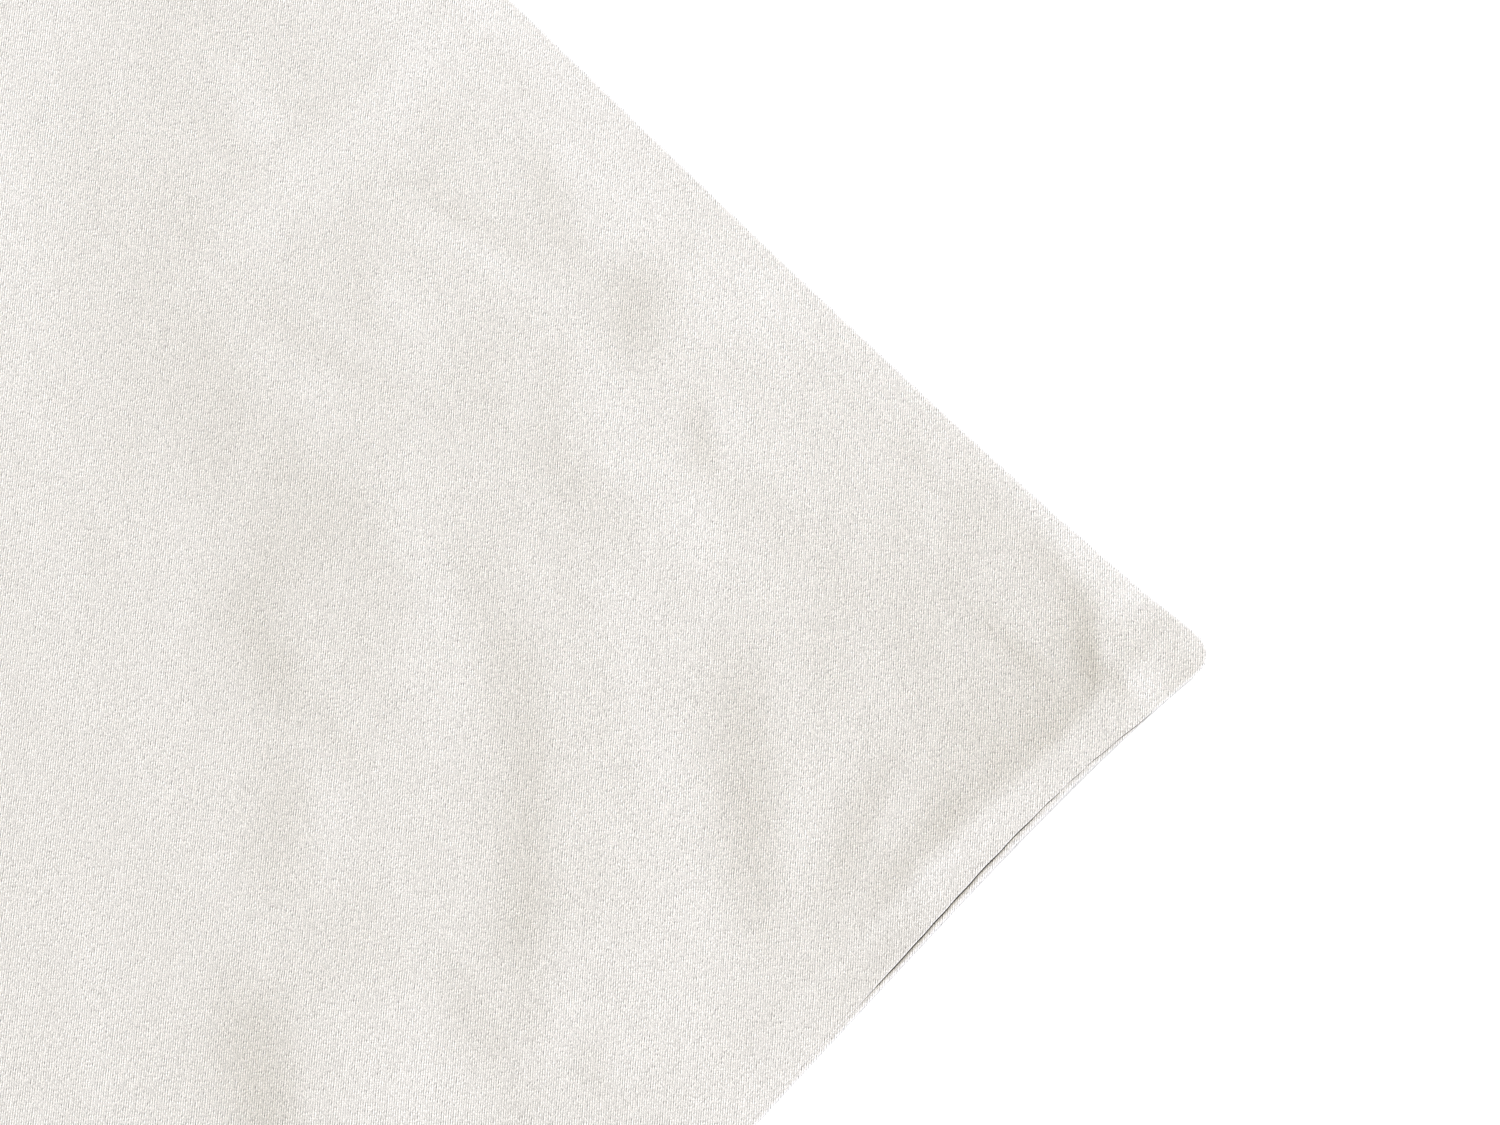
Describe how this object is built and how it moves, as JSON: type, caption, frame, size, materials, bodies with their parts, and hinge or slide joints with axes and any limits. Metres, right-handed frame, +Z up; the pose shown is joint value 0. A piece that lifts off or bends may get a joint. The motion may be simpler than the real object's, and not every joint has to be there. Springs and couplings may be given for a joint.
{
  "type": "duvet cover",
  "caption": "Empty off-white plain-weave cotton duvet cover laid flat, sewn on its head and sides, with an open hemmed mouth at its foot.",
  "frame": {"origin": "middle of the cover's outline, on the surface it lies on", "axes": "+X across the width, +Y along the length towards the sewn head, +Z up out of the front panel; the mouth faces -Y"},
  "size_m": [1.4156, 2.003, 0.0201],
  "materials": {
    "cotton": "matt off-white plain-weave cotton"
  },
  "bodies": {
    "root": {"front_panel": "cotton", "back_panel": "cotton"}
  },
  "joints": []
}
